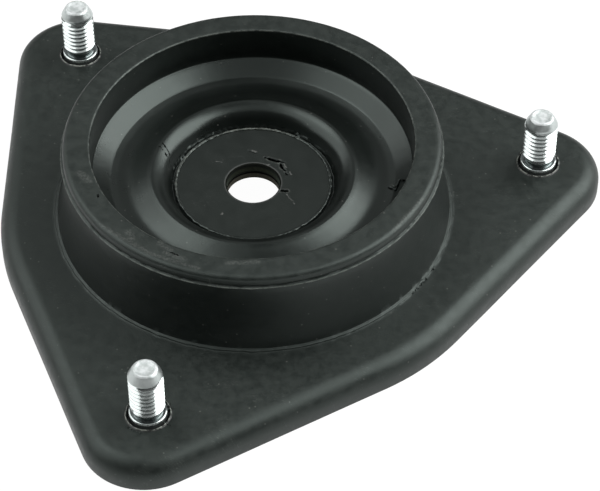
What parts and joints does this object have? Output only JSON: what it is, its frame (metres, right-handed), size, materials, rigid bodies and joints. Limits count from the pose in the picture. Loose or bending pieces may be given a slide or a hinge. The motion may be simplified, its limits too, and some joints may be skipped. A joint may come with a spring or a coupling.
{
  "type": "strut mount",
  "caption": "Rubber-covered steel strut mount: a rounded triangular plate with a raised ring, a rubber-sprung hub with a rod hole, and threaded studs for the body.",
  "frame": {"origin": "bottom centre of the whole part, on the foot of the rim; the hub axis is parallel to Z at y = 12.1 mm", "axes": "+X runs across the widest side, +Y points away from the front stud, +Z is the direction the studs point"},
  "size_m": [0.1506, 0.1452, 0.0283],
  "materials": {
    "rubber": "moulded black rubber, satin, with flash lines and light scuffs",
    "coated_steel": "stamped steel with a thin black coat, satin",
    "hub_coating": "steel with a matt black bonding coat, scratched round the hole",
    "zinc_plate": "bright zinc-plated steel"
  },
  "bodies": {
    "root": {"rubber_moulding": "rubber", "mounting_plate": "coated_steel", "hub_plate": "hub_coating", "bearing_seat": "coated_steel", "stud_right": "zinc_plate", "stud_left": "zinc_plate", "stud_front": "zinc_plate"}
  },
  "joints": []
}
